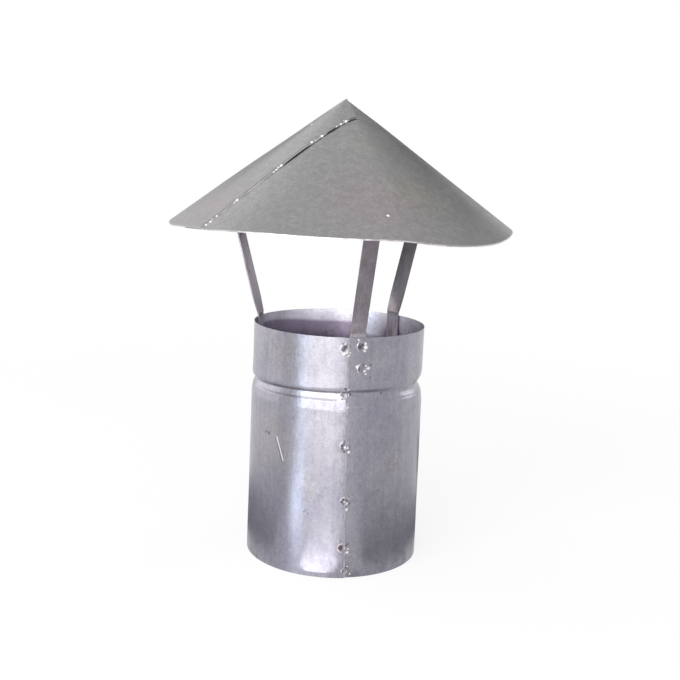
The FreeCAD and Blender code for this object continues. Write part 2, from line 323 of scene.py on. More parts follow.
def pipe_grid():
    """Heights of the rows, and each point's height and way round from the sheet's inner end in degrees."""
    fine, coarse = 0.56, 2.0
    columns = merged(
        np.arange(0, 24, fine), np.arange(24, 350, coarse), np.arange(350, PIPE_TURN - 0.7, fine),
        PIPE_TURN - np.array([0.9, 0.45, 0.2, 0]),
    )
    at_prints = [np.arange(z - 3.4, z + 3.41, 0.62) for _, z, _ in SEAM_WELDS + FRONT_FOOT_WELDS]
    at_ends = [0.25, 0.6, PIPE_LENGTH - 0.6, PIPE_LENGTH - 0.25]
    at_bead = np.arange(112, 139, 0.55)
    rows = merged(np.arange(0, PIPE_LENGTH + 0.1, 3.32), at_ends, at_bead, *at_prints)
    rows = rows[(rows >= 0) & (rows <= PIPE_LENGTH)]
    return rows, *np.meshgrid(rows, columns, indexing="ij")


def make_pipe():
    """The pipe's sheet, from its inner end round to the free edge that lies on top."""
    rows, z, t = pipe_grid()
    skew = 3.0 * (1 - z / PIPE_LENGTH) ** 1.5 - 1.3
    azimuth = INNER_END + t + skew * ease(t, 338, PIPE_TURN)
    from_edge = np.radians(PIPE_TURN - t) * PIPE_RADIUS

    # the bead is shallower where it crosses the lap
    pressed = bead_depth(z, azimuth)
    crossing = bell(azimuth - 360, SEAM_AZIMUTH - 1.0, 6.0) * ease(t, 345, 358)
    depth = pressed * (1 - 0.18 * crossing)

    # the last stretch climbs onto the sheet's own inner end, on an arc round another centre
    lift = PIPE_LIFT / (1 - math.cos(math.radians(PIPE_LIFT_ARC)))
    turn = np.radians(np.clip(azimuth - (INNER_END + 360 - PIPE_LIFT_ARC), 0, None))
    shift = lift * np.cos(turn)
    radius = np.sqrt(shift ** 2 - lift ** 2 + (PIPE_RADIUS + lift - depth) ** 2) - shift
    radius = radius + unevenness(z, azimuth)

    # the free edge stands off a little between its welds
    held = np.max([bell(z, height, 13.0) for _, height, _ in SEAM_WELDS], axis=0)
    radius = radius + 0.22 * (1 - held) * bell(from_edge, 0, 7.0)

    prints = np.zeros_like(z)
    for weld_azimuth, height, size in PIPE_WELDS:
        aside = np.radians(wrapped(azimuth - weld_azimuth)) * PIPE_RADIUS
        prints = prints + print_relief(np.hypot(aside, z - height) / size, 0.24, 2.9, 0.09)
    covered = t <= 8
    worn = 0.34 * np.clip(1 - from_edge / 0.9, 0, 1) ** 1.5
    outer_radius = radius + np.where(covered, 0, prints) - worn
    steep = np.gradient(pressed, rows, axis=0)
    inner_radius = radius - SHEET * np.sqrt(1 + steep ** 2)

    x, y = direction(azimuth)
    outer = np.stack([outer_radius * x, outer_radius * y, z], axis=-1)
    inner = np.stack([inner_radius * x, inner_radius * y, z], axis=-1)
    # the crease mask carries painted shade in and beside the bead's crease
    masks = {"from_edge": np.minimum(from_edge, MASK_REACH), "crease_shade": bead_painted_shade(z, azimuth)}
    return sheet_object("pipe_skin", outer, inner, masks)


# Hat
def hat_grid():
    """Each point's distance from the tip and azimuth, from the end below round to the flap's edge."""
    rows = merged(
        [0.3, 0.9], np.arange(1.5, 16, 1.2), np.arange(16, SLANT - 0.8, 0.95),
        SLANT - np.array([0.6, 0.35, 0.15, 0]),
    )
    turns = np.tile(np.arange(0, 360.01, 2.4), (len(rows), 1))
    shares = 1 - (1 - np.linspace(0, 1, 26)[1:]) ** 1.6
    flap = np.arcsin(np.clip(FLAP_WIDTH / np.maximum(rows, 1), 0, 1))
    flap = np.minimum(flap, math.atan2(FLAP_WIDTH, FLAP_END_RUN))
    flap = np.degrees(flap) / math.cos(SLOPE)
    azimuth = np.concatenate([turns, 360 + flap[:, None] * shares], axis=1) + FLAP_AZIMUTH
    return np.repeat(rows[:, None], azimuth.shape[1], axis=1), azimuth


def hat_climb(turn):
    """How far the hat's sheet has climbed onto its own end, as a share, after some degrees of the climb."""
    return (1 - np.cos(np.radians(turn))) / (1 - math.cos(math.radians(HAT_LIFT_ARC)))


def make_hat():
    """The hat's sheet, from the end that lies below round to the flap whose free edge lies on top."""
    s, azimuth = hat_grid()

    # distance to the flap's free edge and along it, as in the flat blank
    flat = np.radians(np.maximum(azimuth - FLAP_AZIMUTH - 360, -60)) * math.cos(SLOPE)
    run = s * np.cos(flat)
    from_edge = np.maximum(FLAP_WIDTH - s * np.sin(flat), 0)
    on_top = azimuth > FLAP_AZIMUTH + 330

    # height off the plain cone: the climb, the edge between its welds, the pressed welds and the waviness
    climb = (SHEET + LAP_GAP) * hat_climb(np.clip(azimuth - (FLAP_AZIMUTH + 360 - HAT_LIFT_ARC), 0, None))
    held = np.max([bell(run, middle, half + 2.5) for middle, half in FLAP_WELDS], axis=0)
    lip = sum(height * bell(run, middle, half) for middle, half, height in FLAP_LIPS)
    lip = lip * (1 - held) * bell(from_edge, 0, 10.0) * on_top
    pressed = sum(bell(run, middle, half) for middle, half in FLAP_WELDS)
    pressed = 0.22 * pressed * bell(from_edge, 1.8, 2.6) * on_top
    wave = waves(np.radians(azimuth), s * 2 * math.pi / 300, 11, 8, 4) * 0.35 * ease(s, 4, 30)
    off = climb + lip - pressed + wave

    prints = np.zeros_like(s)
    for weld_azimuth, slant in HAT_WELDS:
        aside = np.radians(wrapped(azimuth - weld_azimuth)) * s * math.cos(SLOPE)
        prints = prints + print_relief(np.hypot(aside, s - slant), 0.2, 2.8, 0.06)
    beaten = (0.36 + 0.2 * ease(run, 72, 92)) * bell(from_edge, 0, 2.4) * on_top
    rounded = 0.1 * np.clip(1 - from_edge / 0.8, 0, 1) * on_top
    rounded = rounded + 0.22 * np.clip(1 - (SLANT - s) / 0.5, 0, 1) ** 2

    slope = SLOPE + around(azimuth, RIM_DROOP)
    length = s * (1 - around(azimuth, RIM_TRIM) / SLANT)
    blunt = 0.7 * np.exp(-s / 1.6) + 0.6 * (1 - s / SLANT) ** 2
    x, y = direction(azimuth)

    def surface(lift):
        radius = np.clip(length * np.cos(slope) + lift * np.sin(slope), 0.02, HAT_RADIUS - 0.05)
        height = HAT_RIM + HAT_HEIGHT - length * np.sin(slope) + lift * np.cos(slope) - blunt
        return np.stack([radius * x + HAT_SHIFT + TIP_SHIFT * (1 - s / SLANT), radius * y, height], axis=-1)

    zone = np.max([bell(run, middle, half * 1.25) for middle, half in FLAP_WELDS], axis=0)
    masks = {
        "from_edge": np.where(on_top, np.minimum(from_edge, MASK_REACH), MASK_REACH),
        "weld_zone": zone * bell(from_edge, 1.2, 2.6) * on_top,
        "from_rim": np.minimum(SLANT - s, MASK_REACH),
    }
    return sheet_object("hat_skin", surface(off + prints - beaten - rounded), surface(off - SHEET), masks)


# Straps
def strap_corners(azimuth, lean):
    """Corners of a strap's outer side in its own upright plane, as radius and height, from the foot up."""
    across = azimuth + np.linspace(-5.5, 5.5, 5)
    wall = unevenness(*np.meshgrid(np.linspace(STRAP_LOW, PIPE_LENGTH, 9), across))
    inside = PIPE_RADIUS - SHEET - FOOT_GAP + float(wall.min())
    face = math.sqrt(inside ** 2 - (STRAP_WIDTH / 2) ** 2)

    # the flange lies under the cone; its edges touch first, and the cone is higher over the climb
    slope = SLOPE + float(around(azimuth, RIM_DROOP))
    sag = STRAP_WIDTH ** 2 / (8 * face) * math.sin(slope)
    turn = (azimuth - (FLAP_AZIMUTH - HAT_LIFT_ARC)) % 360
    lift = (SHEET + FLANGE_GAP) * float(hat_climb(turn)) if turn < HAT_LIFT_ARC else 0.0
    under = SHEET + FLANGE_GAP + sag + STRAP_THICKNESS - lift
    apex = HAT_RIM + HAT_HEIGHT - 0.03 - under / math.cos(slope)

    low = np.array([face, PIPE_LENGTH + FOOT_RISE])
    upwards = np.array([math.sin(math.radians(lean)), math.cos(math.radians(lean))])
    leg = (apex - low[1] - face * math.tan(slope)) / (upwards[1] + upwards[0] * math.tan(slope))
    high = low + upwards * leg
    end = high + np.array([math.cos(slope), -math.sin(slope)]) * FLANGE_LENGTH
    return np.array([face, STRAP_LOW]), low, high, end


def bent_line(corners, radii, step=2.2, arc_steps=9, last_points=13):
    """Points along straight runs joined by arcs at the inner corners."""
    points = [corners[0]]
    for before, corner, after, radius in zip(corners, corners[1:], corners[2:], radii):
        back = (before - corner) / np.linalg.norm(before - corner)
        ahead = (after - corner) / np.linalg.norm(after - corner)
        half = math.acos(np.clip(back @ ahead, -1, 1)) / 2
        reach = radius / math.tan(half)
        middle = corner + (back + ahead) / np.linalg.norm(back + ahead) * radius / math.sin(half)
        first, last = corner + back * reach, corner + ahead * reach
        start = math.atan2(*(first - middle)[::-1])
        turn = (math.atan2(*(last - middle)[::-1]) - start + math.pi) % (2 * math.pi) - math.pi
        count = max(2, int(np.linalg.norm(first - points[-1]) / step))
        points.extend(np.linspace(points[-1], first, count)[1:])
        for k in range(1, arc_steps + 1):
            angle = start + turn * k / arc_steps
            points.append(middle + radius * np.array([math.cos(angle), math.sin(angle)]))
    points.extend(np.linspace(points[-1], corners[-1], last_points)[1:])
    return np.array(points)


def bar_section(corner=0.38):
    """Outline of the flat bar with rounded corners, as places across its width and thickness."""
    outline = []
    for wide, thick, first in ((1, -1, -90), (1, 1, 0), (-1, 1, 90), (-1, -1, 180)):
        middle_w = wide * (STRAP_WIDTH / 2 - corner)
        middle_t = thick * (STRAP_THICKNESS / 2 - corner)
        for k in range(5):
            angle = math.radians(first + k * 22.5)
            outline.append((middle_w + corner * math.cos(angle), middle_t + corner * math.sin(angle)))
    return outline


def make_strap(name, azimuth, lean, twist, tilt):
    """A strap: a flat bar with worn edges, swept along its bent line and a little twisted by hand."""
    line = bent_line(strap_corners(azimuth, lean), (FOOT_BEND, TOP_BEND))
    tangent = np.gradient(line, axis=0)
    tangent /= np.linalg.norm(tangent, axis=1)[:, None]
    inwards = np.stack([-tangent[:, 1], tangent[:, 0]], axis=1)

    # the leg twists in over its first stretch and out over its last, and leans to one side
    walk = np.concatenate([[0], np.cumsum(np.linalg.norm(np.diff(line, axis=0), axis=1))])
    leg_start = walk[np.argmax(line[:, 1] > PIPE_LENGTH + FOOT_RISE)]
    leg = walk[np.argmax(line[:, 1])] - leg_start
    climb = np.clip(walk - leg_start, 0, leg)
    twists = np.radians(twist) * ease(climb, -6, 14) * ease(leg - climb, 0, 22)
    twists = np.where(walk < leg_start, 0, twists)
    shifts = tilt * climb
    sizes = np.ones(len(line))
    sizes[0] = sizes[-1] = 0.93

    x, y = direction(azimuth)
    out, side, up = np.array([x, y, 0.0]), np.array([-y, x, 0.0]), np.array([0, 0, 1.0])
    section = bar_section()
    rings = []
    for point, inward, turn, shift, size in zip(line, inwards, twists, shifts, sizes):
        centre = point + inward * STRAP_THICKNESS / 2
        middle = out * centre[0] + up * centre[1] + side * shift
        normal = out * inward[0] + up * inward[1]
        wide = side * math.cos(turn) + normal * math.sin(turn)
        thick = normal * math.cos(turn) - side * math.sin(turn)
        rings.append([middle + wide * w * size + thick * t * size for w, t in section])

    corners, end = len(section), (len(rings) - 1) * len(section)
    faces = [
        (row + j, row + (j + 1) % corners, row + corners + (j + 1) % corners, row + corners + j)
        for row in range(0, end, corners)
        for j in range(corners)
    ]
    faces.append(tuple(range(corners))[::-1])
    faces.append(tuple(range(end, end + corners)))
    return mesh_object(name + "_bar", np.array(rings).reshape(-1, 3), faces, 50)


# Materials
class Graph:
    """Short way to write the nodes of a material or a world: most calls add a node and give its output."""

    def __init__(self, name, kind="materials"):
        self.owner = getattr(bpy.data, kind).new(name)
        self.owner.use_nodes = True
        self.tree = self.owner.node_tree
        self.tree.nodes.clear()
        self.place = self.node("ShaderNodeTexCoord").outputs["Object"]

    def node(self, kind, **settings):
        made = self.tree.nodes.new(kind)
        for key, value in settings.items():
            setattr(made, key, value)
        return made

    def put(self, socket, value):
        """Link a node's output to a socket, or write a plain value there."""
        if isinstance(value, bpy.types.NodeSocket):
            self.tree.links.new(value, socket)
        else:
            socket.default_value = value

    def math(self, operation, a, b=0.0, clamp=False):
        made = self.node("ShaderNodeMath", operation=operation, use_clamp=clamp)
        self.put(made.inputs[0], a)
        self.put(made.inputs[1], b)
        return made.outputs[0]

    def times(self, first, *others):
        """Product of two or more values."""
        for other in others:
            first = self.math("MULTIPLY", first, other)
        return first

    def vector(self, operation, a, b=(0, 0, 0)):
        made = self.node("ShaderNodeVectorMath", operation=operation)
        self.put(made.inputs[0], a)
        self.put(made.inputs[1], b)
        single = operation in ("DISTANCE", "LENGTH", "DOT_PRODUCT")
        return made.outputs["Value" if single else "Vector"]

    def axes(self, vector):
        """The X, Y and Z of a vector."""
        made = self.node("ShaderNodeSeparateXYZ")
        self.put(made.inputs[0], vector)
        return made.outputs

    def joined(self, **parts):
        """A vector from some of X, Y and Z."""
        made = self.node("ShaderNodeCombineXYZ")
        for axis, value in parts.items():
            self.put(made.inputs[axis], value)
        return made.outputs[0]

    def scaled(self, factors, offset=(0, 0, 0)):
        made = self.node("ShaderNodeMapping")
        self.put(made.inputs["Vector"], self.place)
        made.inputs["Scale"].default_value = factors
        made.inputs["Location"].default_value = offset
        return made.outputs["Vector"]

    def noise(self, where, scale, detail=3.0, roughness=0.55, distortion=0.0, output="Fac"):
        made = self.node("ShaderNodeTexNoise")
        self.put(made.inputs["Vector"], where)
        made.inputs["Scale"].default_value = scale
        made.inputs["Detail"].default_value = detail
        made.inputs["Roughness"].default_value = roughness
        made.inputs["Distortion"].default_value = distortion
        return made.outputs[output]

    def fit(self, value, low, high, new_low=0.0, new_high=1.0, smooth=True):
        """A value brought from one range to another and held at its ends, with a smooth step between them."""
        made = self.node("ShaderNodeMapRange", interpolation_type="SMOOTHSTEP" if smooth else "LINEAR")
        names = ("Value", "From Min", "From Max", "To Min", "To Max")
        for name, entry in zip(names, (value, low, high, new_low, new_high)):
            self.put(made.inputs[name], entry)
        return made.outputs["Result"]

    def mix(self, share, a, b, blend="MIX"):
        made = self.node("ShaderNodeMix", data_type="RGBA", blend_type=blend)
        self.put(made.inputs["Factor"], share)
        self.put(made.inputs["A"], a if isinstance(a, bpy.types.NodeSocket) else (*a, 1))
        self.put(made.inputs["B"], b if isinstance(b, bpy.types.NodeSocket) else (*b, 1))
        return made.outputs["Result"]

    def coated(self, colour, *coats):
        """A colour under further coats, each with its share and its tone."""
        for share, tone in coats:
            colour = self.mix(share, colour, tone)
        return colour

    def attribute(self, name):
        return self.node("ShaderNodeAttribute", attribute_name=name).outputs["Fac"]

    def bump(self, height, distance, strength, normal=None):
        made = self.node("ShaderNodeBump")
        made.inputs["Distance"].default_value = distance
        made.inputs["Strength"].default_value = strength
        self.put(made.inputs["Height"], height)
        if normal is not None:
            self.put(made.inputs["Normal"], normal)
        return made.outputs["Normal"]

    def nearest(self, where, spots):
        """Distance to the nearest of several spots, each with its own size, as a share of that size."""
        best = None
        for spot, size in spots:
            away = self.math("DIVIDE", self.vector("DISTANCE", where, spot), size * MM)
            best = away if best is None else self.math("MINIMUM", best, away)
        return best

    def finish(self, colour, roughness, normal, metallic, anisotropic=0.0, turn=0.0):
        """The material, from the inputs of its one shader."""
        shader = self.node("ShaderNodeBsdfPrincipled")
        self.put(shader.inputs["Base Color"], colour)
        self.put(shader.inputs["Roughness"], roughness)
        self.put(shader.inputs["Normal"], normal)
        shader.inputs["Metallic"].default_value = metallic
        if anisotropic:
            shader.inputs["Anisotropic"].default_value = anisotropic
            shader.inputs["Anisotropic Rotation"].default_value = turn
            tangent = self.node("ShaderNodeTangent", direction_type="RADIAL", axis="Z")
            self.put(shader.inputs["Tangent"], tangent.outputs["Tangent"])
        output = self.node("ShaderNodeOutputMaterial")
        self.put(output.inputs["Surface"], shader.outputs["BSDF"])
        return self.owner


def flat_pipe(g, side):
    """Coordinates on the pipe's wall laid flat: arc length from the front, and height."""
    place = g.axes(g.place)
    turn = g.math("ARCTAN2", place["X"], g.times(place["Y"], -1.0))
    flat = g.joined(X=g.times(turn, PIPE_RADIUS * MM), Z=place["Z"])
    return g.vector("ADD", flat, g.vector("MULTIPLY", side, (0, 0, INSIDE_SHIFT * MM)))


def on_pipe(azimuth, height):
    """A place on the pipe's wall laid flat."""
    return (math.radians(azimuth) * PIPE_RADIUS * MM, 0.0, height * MM)


def flat_hat(g):
    """Coordinates on the hat's cone laid flat, from its tip."""
    place = g.axes(g.place)
    x = g.math("SUBTRACT", place["X"], HAT_SHIFT * MM)
    tip_shift = g.fit(place["Z"], HAT_RIM * MM, (HAT_RIM + HAT_HEIGHT) * MM, 0.0, TIP_SHIFT * MM, False)
    x = g.math("SUBTRACT", x, tip_shift)
    y = g.times(place["Y"], -1.0)
    turn = g.times(g.math("ARCTAN2", x, y), math.cos(SLOPE))
    level = g.math("SQRT", g.math("ADD", g.times(x, x), g.times(y, y)))
    slant = g.math("DIVIDE", level, math.cos(SLOPE))
    return g.joined(X=g.times(slant, g.math("SINE", turn)), Y=g.times(slant, g.math("COSINE", turn)))


def on_hat(azimuth, slant):
    """A place on the hat's cone laid flat."""
    turn = math.radians(azimuth) * math.cos(SLOPE)
    return (slant * math.sin(turn) * MM, slant * math.cos(turn) * MM, 0.0)


def on_flap(run, inset):
    """Azimuth and distance from the tip of a point beside the flap's straight free edge."""
    across = FLAP_WIDTH - inset
    return FLAP_AZIMUTH + math.degrees(math.atan2(across, run)) / math.cos(SLOPE), math.hypot(across, run)


def pipe_scratch(g, flat, grain, start, end, width, share):
    """Where a straight scratch on the pipe shows, broken up by the grain."""
    start, end = on_pipe(*start), on_pipe(*end)
    length = math.dist(start, end)
    along = tuple((b - a) / length for a, b in zip(start, end))
    from_start = g.vector("SUBTRACT", flat, start)
    reach = g.vector("DOT_PRODUCT", from_start, along)
    aside = g.vector("LENGTH", g.vector("CROSS_PRODUCT", from_start, along))
    inside = g.times(g.math("GREATER_THAN", reach, 0.0), g.math("LESS_THAN", reach, length))
    thin = g.fit(aside, width * MM, 0.35 * width * MM)
    return g.times(inside, thin, g.fit(grain, 0.25, 0.42, 0.35, share))


def pipe_welds(g, colour, flat):
    """Weld prints on the pipe, a faint ring in a burnt haze with specks: colour, bright specks and relief."""
    wobble = g.vector("SUBTRACT", g.noise(flat, 620, 2, 0.5, output="Color"), (0.5, 0.5, 0.5))
    shaken = g.vector("ADD", flat, g.vector("MULTIPLY", wobble, (0.0014, 0.0014, 0.0014)))
    shaken = g.vector("MULTIPLY", shaken, (1, 0, 1))
    patchy = g.noise(g.scaled((1, 1, 1), (2, 9, 4)), 900, 3, 0.7)
    for azimuth, height, size, brown in HAZE:
        near = g.nearest(shaken, [(on_pipe(azimuth, height), size)])
        haze = g.times(g.fit(near, 1.2, 0.2), g.fit(patchy, 0.34, 0.62, 0.25, 0.75))
        colour = g.mix(haze, colour, (0.215 - 0.045 * brown, 0.205 - 0.065 * brown, 0.235 - 0.095 * brown))
    weld = g.nearest(shaken, [(on_pipe(a, z), PRINT_RADIUS * size) for a, z, size in PIPE_WELDS])
    burns = g.nearest(shaken, [(on_pipe(a, z), size) for a, z, size in BURNS])
    flecks = g.nearest(shaken, [(on_pipe(a, z), size) for a, z, size in FLECKS])
    ring = g.times(g.fit(weld, 1.2, 0.95), g.fit(weld, 0.5, 0.85))
    fleck = g.fit(flecks, 1.5, 0.7, 0, 0.9)
    colour = g.coated(
        colour,
        (g.times(ring, g.fit(patchy, 0.5, 0.62, 0, 0.45)), (0.62, 0.6, 0.64)),
        (g.fit(burns, 1.5, 0.5, 0, 0.85), (0.085, 0.062, 0.068)),
        (fleck, (0.88, 0.87, 0.89)),
    )
    relief = g.times(g.fit(weld, 1.15, 0.85), g.math("ADD", patchy, g.fit(weld, 0.2, 0.95)))
    return colour, fleck, relief


def pipe_inside_painted_light(g, flat, mottle):
    """Colour inside the pipe: painted light in a bright band below the rim, painted shade further down, and a
    darker patch by the right foot.
    """
    place = g.axes(g.place)
    # painted light and shade: their boundary lies lower at the right and higher at the left
    level = g.math("ADD", place["Z"], g.fit(place["X"], 0.012, 0.024, 0.0, 0.009))
    level = g.math("SUBTRACT", level, g.fit(place["X"], -0.052, -0.01, 0.003, 0.0))
    near_right_foot = g.vector("DISTANCE", flat, on_pipe(137.0, INSIDE_SHIFT + 147.0))
    colour = g.mix(g.fit(level, 0.144, 0.152), (0.12, 0.09, 0.15), (0.225, 0.19, 0.26))
    return g.coated(
        colour,
        (g.fit(level, 0.1555, 0.1585), (0.56, 0.545, 0.61)),
        (g.fit(near_right_foot, 0.014, 0.007, 0.0, 0.85), (0.10, 0.065, 0.14)),
        (g.fit(mottle, 0.35, 0.65, 0, 0.35), (0.30, 0.27, 0.34)),
    )


def pipe_material():
    """Bright zinc-coated sheet: satin, with clouds, specks, stains, scratches and weld marks; painted shade
    in the bead's crease, a painted highlight along the lap's edge, and painted light and shade inside.
    """
    g = Graph("pipe_zinc")
    side = g.attribute("inside")
    flat = flat_pipe(g, side)
    clouds = g.noise(g.scaled((1, 1, 0.6)), 24, 4, 0.55, 0.6)
    tints = g.noise(g.scaled((1, 1, 0.5), (3.1, 1.7, 0.4)), 17, 3, 0.5)
    warm = g.noise(g.scaled((1, 1, 0.8), (5.5, 0.2, 2.1)), 21, 2, 0.5)
    mottle = g.noise(g.scaled((1, 1, 0.7), (1.1, 0.4, 3.0)), 310, 4, 0.7)
    grain = g.noise(g.place, 900, 3, 0.7)
    rolled = g.noise(g.scaled((1, 1, 0.05), (0.3, 0.9, 0)), 300, 4, 0.6)
    spots = g.noise(g.scaled((1, 1, 0.8), (7.3, 2.4, 1.2)), 520, 2, 0.5)
    spangle = g.node("ShaderNodeTexVoronoi")
    g.put(spangle.inputs["Vector"], g.place)
    spangle.inputs["Scale"].default_value = 120
    split = g.node("ShaderNodeSeparateColor")
    g.put(split.inputs["Color"], spangle.outputs["Color"])

    # zinc: soft clouds and a warm patch at the left, under mottle, grain, rolling marks and spangle
    patch = g.vector("DISTANCE", flat, on_pipe(-46.0, 88.0))
    patch = g.times(g.fit(patch, 0.034, 0.006), g.fit(mottle, 0.3, 0.6, 0.25, 0.75))
    colour = g.mix(g.fit(clouds, 0.3, 0.72), (0.285, 0.272, 0.318), (0.365, 0.35, 0.39))
    colour = g.coated(
        colour,
        (g.fit(tints, 0.42, 0.7, 0, 0.5), (0.29, 0.285, 0.37)),
        (g.fit(warm, 0.52, 0.7, 0, 0.5), (0.38, 0.355, 0.325)),
        (patch, (0.385, 0.365, 0.315)),
        (g.fit(mottle, 0.38, 0.66, 0, 0.42), (0.19, 0.18, 0.225)),
        (g.fit(grain, 0.36, 0.60, 0, 0.58), (0.18, 0.17, 0.215)),
        (g.fit(grain, 0.54, 0.68, 0, 0.36), (0.52, 0.52, 0.56)),
        (g.fit(spots, 0.57, 0.7, 0, 0.5), (0.17, 0.165, 0.20)),
        (g.fit(rolled, 0.35, 0.65, 0, 0.12), (0.5, 0.49, 0.52)),
        (g.times(split.outputs["Red"], 0.14), (0.45, 0.45, 0.48)),
    )

    # painted shade in the bead's crease, soft dark patches that grow darker towards the bottom, and a few
    # marks
    crease_shade = g.times(g.attribute("crease_shade"), g.fit(mottle, 0.3, 0.6, 0.9, 0.6))
    darkening = g.noise(g.scaled((1, 1, 0.8), (1.3, 4.2, 0.7)), 38, 5, 0.62, 0.8)
    darkening = g.times(g.fit(darkening, 0.38, 0.66, 0.15, 0.7), g.fit(mottle, 0.34, 0.6, 0.4, 1.0))
    # darker towards the bottom of the pipe, in soft patches
    darker_low = g.times(g.fit(g.axes(g.place)["Z"], 0.062, 0.0), darkening)
    marks = g.nearest(flat, [(on_pipe(a, z), size) for a, z, size in MARKS])
    colour = g.coated(
        colour,
        (crease_shade, (0.10, 0.09, 0.10)),
        (darker_low, (0.155, 0.148, 0.185)),
        (g.fit(marks, 1.3, 0.4, 0, 0.75), (0.09, 0.08, 0.085)),
    )

    for start, end, width, tone, share in SCRATCHES:
        colour = g.mix(pipe_scratch(g, flat, grain, start, end, width, share), colour, tone)
    colour, fleck, relief = pipe_welds(g, colour, flat)

    # painted highlight along the lap's cut edge, in places, and the inside
    edge_highlight = g.times(g.fit(g.attribute("from_edge"), 1.1, 0.7), g.fit(mottle, 0.35, 0.6, 0.15, 0.65))
    colour = g.mix(edge_highlight, colour, (0.66, 0.65, 0.70))
    # inside: painted light below the rim and painted shade further down
    colour = g.mix(g.times(side, 0.9), colour, pipe_inside_painted_light(g, flat, mottle))

    rough = g.fit(clouds, 0.3, 0.7, 0.29, 0.34)
    rough = g.math("ADD", rough, g.fit(grain, 0.3, 0.7, -0.03, 0.07))
    rough = g.math("ADD", rough, g.times(darker_low, 0.2))
    rough = g.math("SUBTRACT", rough, g.times(fleck, 0.14), clamp=True)
    pits = g.math("ADD", g.times(grain, 0.5), g.math("ADD", mottle, spots))
    normal = g.bump(rolled, 0.00010, 0.12)
    normal = g.bump(pits, 0.00012, 0.55, normal)
    normal = g.bump(relief, 0.00035, 0.5, normal)
    return g.finish(colour, rough, normal, 0.92, 0.75, 0.25)


def hat_lap(g, colour, flat, mottle):
    """The hat's lap, with painted highlights along its edge, painted shadows under its lifted edge and burnt
    weld zones: colour, bright parts and relief.
    """
    zone = g.attribute("weld_zone")
    specks = g.noise(g.scaled((1, 1, 1), (4, 7, 2)), 700, 3, 0.7)
    bright = g.times(g.fit(zone, 0.15, 0.6), g.fit(specks, 0.56, 0.64))

    # distance across the flap and along it, in the flat blank
    turn = math.radians(FLAP_AZIMUTH) * math.cos(SLOPE)
    across = g.vector("DOT_PRODUCT", flat, (math.cos(turn), -math.sin(turn), 0))
    run = g.vector("DOT_PRODUCT", flat, (math.sin(turn), math.cos(turn), 0))
    from_line = g.math("ABSOLUTE", g.math("SUBTRACT", across, FLAP_WIDTH * MM))
    # painted highlight along the flap's cut edge in its upper part, and a painted light line beside the edge
    # in its lower part
    edge_highlight = g.times(g.fit(g.attribute("from_edge"), 1.0, 0.6), g.fit(mottle, 0.36, 0.6, 0.25, 0.8))
    lower = g.times(g.fit(run, 0.088, 0.096), g.fit(from_line, 0.0010, 0.0004))
    # painted shadow beside the edge where it stands off the hat between its welds
    beside = g.times(g.fit(across, 0.0212, 0.0214), g.fit(across, 0.0223, 0.0217))
    lip_shadows = None
    for middle, half, _ in FLAP_LIPS:
        away = g.math("ABSOLUTE", g.math("SUBTRACT", run, middle * MM))
        lip_shadow = g.fit(away, half * MM, 0.8 * half * MM)
        lip_shadows = lip_shadow if lip_shadows is None else g.math("MAXIMUM", lip_shadows, lip_shadow)
    colour = g.coated(
        colour,
        (g.times(zone, g.fit(specks, 0.5, 0.34, 0, 0.6)), (0.13, 0.125, 0.125)),
        (bright, (0.85, 0.82, 0.84)),
        (g.times(edge_highlight, g.fit(run, 0.104, 0.114, 1.0, 0.0)), (0.56, 0.505, 0.53)),
        (g.times(lower, g.fit(mottle, 0.36, 0.6, 0.15, 0.9)), (0.60, 0.53, 0.56)),
        (g.times(beside, lip_shadows, 0.92), (0.035, 0.033, 0.033)),
    )
    return colour, bright, g.times(zone, specks)


